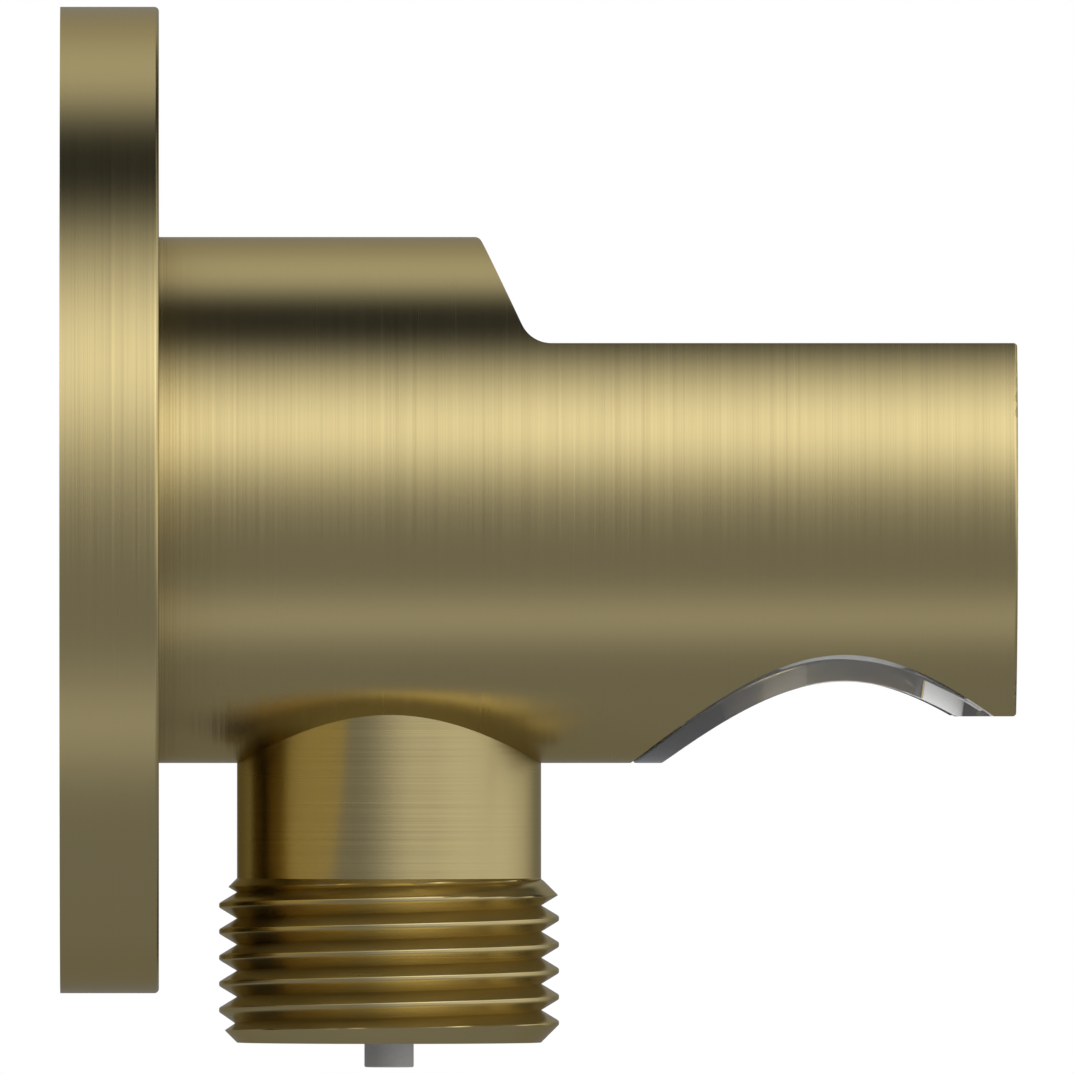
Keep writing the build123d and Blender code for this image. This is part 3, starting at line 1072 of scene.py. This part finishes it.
    def lit_share(self, nodes: Nodes, parts: bpy.types.NodeOutputs, direction: Socket) -> Socket:
        """Darken a spot at the upper right, behind the piece, and a strip from the dark gap down to it.

        Args:
            nodes: the node tree's builder.
            parts: the parts of the direction.
            direction: the direction from the tent's middle.

        Returns:
            The share of the glow that is left.
        """
        near_spot = nodes.smooth(nodes.dot(direction, self.dark_spot), self.spot_range)
        off_strip = nodes.math("ABSOLUTE", nodes.dot(direction, self.strip_normal))
        strip = nodes.smooth(off_strip, self.strip_range, (1.0, 0.0))
        for part, ends in ((parts[0], self.strip_sides), (parts[2], self.strip_heights)):
            strip = nodes.math("MULTIPLY", strip, nodes.smooth(part, ends))
        return nodes.math("MULTIPLY_ADD", nodes.math("MAXIMUM", strip, near_spot), -self.spot_depth, 1.0)

    def panels(self) -> bpy.types.Object:
        """Build the tent of soft panels, which shows only in polished surfaces.

        It is a ball: its radius is the sine of the rise from its foot, and its height is minus the cosine.
        The dim parts of its glow are a little cooler than the panels, and a faint haze lies over all.

        Returns:
            The tent.
        """
        material, nodes = new_material("soft_panels")
        direction = nodes.vector("NORMALIZE", nodes.add("TexCoord").outputs["Object"])
        parts = nodes.add("SeparateXYZ", {0: direction}).outputs
        glow = self.with_sides(nodes, parts, self.glow_round(nodes, parts))
        glow = nodes.math("MULTIPLY", glow, self.lit_share(nodes, parts, direction))
        warmth = nodes.smooth(glow, self.warm_levels)
        tint = nodes.mix(warmth, self.room_tint.rgba(), self.panel_tint.rgba(), "RGBA")
        hazy = nodes.vector("ADD", nodes.times(tint, glow), self.haze.rgb())
        shader = nodes.add("Emission", {"Color": hazy, "Strength": 1.0})
        nodes.add("OutputMaterial", {0: shader.outputs[0]})
        turn = np.linspace(0, FULL_TURN, self.tent_columns + 1)
        rise = np.linspace(0, FULL_TURN / 2, self.tent_rows + 1)[:, None]
        radius, height = self.tent_radius * np.sin(rise), -self.tent_radius * np.cos(rise)
        tent = surface("soft_panels", round_z(radius, turn, height, (0.0, 0.0)), material)
        tent.visible_camera = False
        tent.visible_diffuse = False
        tent.visible_transmission = False
        tent.visible_shadow = False
        return tent

    def floor(self) -> bpy.types.Object:
        """Lay the pale floor, a level square that is far enough below to stay out of the picture.

        From below it isn't seen.

        Returns:
            The floor.
        """
        material, nodes = new_material("floor_pale")
        place = nodes.add("TexCoord").outputs["Object"]
        inputs = {"Vector": place, "Scale": self.speckle_scale, "Detail": self.speckle_detail}
        speckle = nodes.add("TexNoise", inputs).outputs[0]
        shader = nodes.add("BsdfDiffuse", {"Color": nodes.smooth(speckle, NOISE_RANGE, self.floor_tones)})
        seen_through = nodes.add("BsdfTransparent")
        below = nodes.add("NewGeometry").outputs["Backfacing"]
        sides = nodes.add("MixShader", {0: below, 1: shader.outputs[0], 2: seen_through.outputs[0]})
        nodes.add("OutputMaterial", {0: sides.outputs[0]})
        half = np.linspace(-self.floor_size / 2, self.floor_size / 2, self.floor_points)
        x, y = np.meshgrid(half, half)
        points = np.stack((x, y, np.full_like(x, self.floor_level)), axis=-1)
        return surface("floor", points, material)

    def key_light(self) -> bpy.types.Object:
        """Hang a soft lamp low at the right that models the matt parts.

        Returns:
            The lamp.
        """
        lamp = bpy.data.lights.new("key", "AREA")
        lamp.shape = "DISK"
        lamp.size = self.key_size
        lamp.energy = self.key_power
        item = bpy.data.objects.new("key", lamp)
        item.location = self.key_place
        item.rotation_euler = (-Vector(self.key_place)).to_track_quat("-Z", "Y").to_euler()
        item.visible_glossy = False
        bpy.context.scene.collection.objects.link(item)
        return item

    def camera(self) -> bpy.types.Object:
        """Set a long lens in the plane of the rosette's front face, so that this face is edge-on.

        It looks at the middle of the object's box, from as far away as fits the picture's width.

        Returns:
            The camera.
        """
        data = bpy.data.cameras.new("camera")
        data.lens = self.lens
        data.sensor_width = self.sensor
        data.clip_end = self.clip_end
        middle = (self.low + self.high) / 2
        item = bpy.data.objects.new("camera", data)
        item.location = (self.rosette_front, -self.frame_width / self.sensor * self.lens, middle.z)
        aim = Vector((middle.x, 0, middle.z)) - item.location
        item.rotation_euler = aim.to_track_quat("-Z", "Y").to_euler()
        bpy.context.scene.collection.objects.link(item)
        bpy.context.scene.camera = item
        return item

    def build(self) -> None:
        """Set up the world, panels, floor, lamp and camera."""
        self.world()
        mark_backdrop(self.panels(), self.floor())
        self.key_light()
        self.camera()
        bpy.context.scene.view_settings.view_transform = "Standard"


GREY = Shade(0.212, 0.208, 0.2)
BLACK = Shade(0.02, 0.02, 0.02)
SOFT_BLACK = Shade(0.05, 0.05, 0.052)
STEEL = Shade(0.55, 0.55, 0.56)
VALVE_PLASTIC = MattFinish("grey_matt_plastic", GREY, 0.5, grain=0.12 * MM, grain_depth=0.001 * MM)
SEAL_RUBBER = MattFinish("black_rubber", BLACK, 0.55, grain=0.2 * MM, grain_depth=0.002 * MM, contrast=0.1)
GASKET_FOAM = MattFinish("black_foam", SOFT_BLACK, 0.9, grain=0.35 * MM, grain_depth=0.06 * MM, contrast=0.3)
SPRING_STEEL = MattFinish("drawn_steel", STEEL, 0.3, grain=0.1 * MM, grain_depth=0.001 * MM, metallic=1.0)


def bar_golds() -> tuple[BrushedGold, BrushedGold]:
    """Describe the gold of the two pieces that were turned on the long axis, from their boxes.

    Returns:
        The rosette's gold and the body's.
    """
    _, rosette_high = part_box("wall_rosette")
    _, body_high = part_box("body")
    lean = math.radians(STEP_LEAN)
    flats = ((0.0, 0.0, 1.0), (0.0, 0.0, -1.0), (1.0, 0.0, 0.0), (math.cos(lean), 0.0, math.sin(lean)))
    bar = {"axis": TurningAxis.ALONG_X, "centre": (0.0, 0.0, 0.0), "flats": flats}
    rim = TurnedRound(rosette_high.x, rosette_high.z, RIM_ROUND)
    tip = TurnedRound(body_high.x, body_high.z, TIP_ROUND)
    crisp = {"crisp_from": body_high.z - EDGE_DEPTH, "crisp_until": tip.end - tip.size}
    rosette_gold = BrushedGold("gold_turned_along", end_round=rim, **bar)
    body_gold = BrushedGold("gold_body", end_round=tip, **crisp, **bar)
    return rosette_gold, body_gold


def nipple_gold() -> BrushedGold:
    """Describe the gold of the nipple, turned on its own upright axis, whose lines lean less.

    Returns:
        The nipple's gold.
    """
    low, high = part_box("outlet_nipple")
    centre = ((low.x + high.x) / 2, 0.0, 0.0)
    return BrushedGold("gold_turned_down", TurningAxis.ALONG_Z, centre, line_lean=0.2)


def dress(node: bpy.types.Object, material: bpy.types.Material) -> None:
    """Give a solid its finish in every material slot, and log it.

    Args:
        node: the solid's object.
        material: the finish.
    """
    for slot in node.material_slots:
        slot.material = material
    log.info("%s wears %s", node.name, material.name)


def main() -> None:
    """Build the pieces in order, dress the solids and set up the studio."""
    logging.basicConfig(level=logging.INFO, format="%(name)s: %(message)s")
    for item in list(bpy.data.objects):
        bpy.data.objects.remove(item)
    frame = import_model()
    nodes = frame["nodes"]
    bpy.context.view_layer.update()
    cad_box = [list(corner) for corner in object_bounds()]

    rosette_gold, body_gold = (gold.material() for gold in bar_golds())
    valve_plastic = VALVE_PLASTIC.material()
    seal_rubber = SEAL_RUBBER.material()
    finishes = {
        "body": body_gold,
        "wall_rosette": rosette_gold,
        "holder_liner": SmokedPlastic().material(),
        "valve_housing": valve_plastic,
        "valve_guide": valve_plastic,
        "valve_poppet": valve_plastic,
        "poppet_seal": seal_rubber,
        "nipple_o_ring": seal_rubber,
        "valve_o_ring": seal_rubber,
        "rosette_o_ring": seal_rubber,
        "wall_gasket": GASKET_FOAM.material(),
    }
    for name, material in finishes.items():
        dress(nodes[name], material)

    body_low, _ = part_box("body")
    pieces = (
        OutletNipple(*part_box("outlet_nipple")).build(nipple_gold().material()),
        InletThread(body_low).build(rosette_gold),
        ValveSpring(*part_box("valve_spring")).build(SPRING_STEEL.material()),
    )
    for piece in pieces:
        log.info("%s has %d faces", piece.name, len(piece.data.polygons))
    _, rosette_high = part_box("wall_rosette")
    low, high = (Vector(corner) for corner in cad_box)
    Studio(low, high, rosette_front=rosette_high.x).build()

    bpy.context.view_layer.update()


if __name__ == "__main__":
    main()
